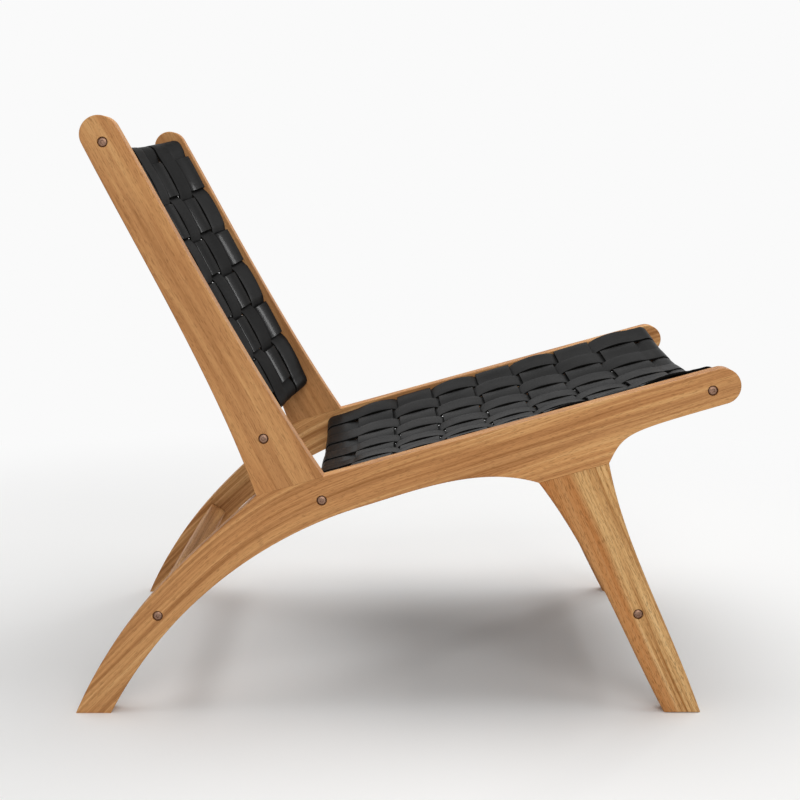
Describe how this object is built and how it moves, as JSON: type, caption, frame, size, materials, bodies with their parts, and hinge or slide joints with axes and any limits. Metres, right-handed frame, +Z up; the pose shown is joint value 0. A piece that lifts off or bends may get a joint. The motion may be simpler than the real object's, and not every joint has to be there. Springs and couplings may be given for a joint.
{
  "type": "woven leather lounge chair",
  "caption": "Low lounge chair with arched wooden side frames, bolted cross rails and a dished seat and raked back woven from wide flat leather straps.",
  "frame": {"origin": "on the floor under the middle of the chair's length and width", "axes": "+X to the front of the chair, +Y to its left side, +Z up"},
  "size_m": [0.8287, 0.64, 0.7396],
  "materials": {
    "teak": "oiled, open grain along each board",
    "golden_teak": "oiled, lighter and more yellow, dark open pores",
    "strap_leather": "black, smooth with a soft sheen and fine grain",
    "bolt_bronze": "antique bronze, domed head with a hexagon socket"
  },
  "bodies": {
    "root": {"side_rail_right": "teak", "back_post_right": "teak", "front_leg_right": "golden_teak", "side_rail_left": "teak", "back_post_left": "teak", "front_leg_left": "golden_teak", "seat_rear_rail": "teak", "seat_front_rail": "teak", "top_back_rail": "teak", "lower_back_rail": "teak", "front_stretcher": "teak", "rear_stretcher": "teak", "seat_batten_right": "teak", "seat_batten_left": "teak", "back_batten_right": "teak", "back_batten_left": "teak", "seat_long_strap_1": "strap_leather", "seat_long_strap_2": "strap_leather", "seat_long_strap_3": "strap_leather", "seat_long_strap_4": "strap_leather", "seat_long_strap_5": "strap_leather", "seat_long_strap_6": "strap_leather", "seat_long_strap_7": "strap_leather", "seat_long_strap_8": "strap_leather", "seat_long_strap_9": "strap_leather", "seat_cross_strap_1": "strap_leather", "seat_cross_strap_2": "strap_leather", "seat_cross_strap_3": "strap_leather", "seat_cross_strap_4": "strap_leather", "seat_cross_strap_5": "strap_leather", "seat_cross_strap_6": "strap_leather", "seat_cross_strap_7": "strap_leather", "back_long_strap_1": "strap_leather", "back_long_strap_2": "strap_leather", "back_long_strap_3": "strap_leather", "back_long_strap_4": "strap_leather", "back_long_strap_5": "strap_leather", "back_long_strap_6": "strap_leather", "back_long_strap_7": "strap_leather", "back_long_strap_8": "strap_leather", "back_long_strap_9": "strap_leather", "back_cross_strap_1": "strap_leather", "back_cross_strap_2": "strap_leather", "back_cross_strap_3": "strap_leather", "back_cross_strap_4": "strap_leather", "back_cross_strap_5": "strap_leather", "back_cross_strap_6": "strap_leather", "bolt_top_back_right": "bolt_bronze", "bolt_top_back_left": "bolt_bronze", "bolt_lower_back_right": "bolt_bronze", "bolt_lower_back_left": "bolt_bronze", "bolt_seat_rear_right": "bolt_bronze", "bolt_seat_rear_left": "bolt_bronze", "bolt_seat_front_right": "bolt_bronze", "bolt_seat_front_left": "bolt_bronze", "bolt_front_stretcher_right": "bolt_bronze", "bolt_front_stretcher_left": "bolt_bronze", "bolt_rear_stretcher_right": "bolt_bronze", "bolt_rear_stretcher_left": "bolt_bronze"}
  },
  "joints": []
}
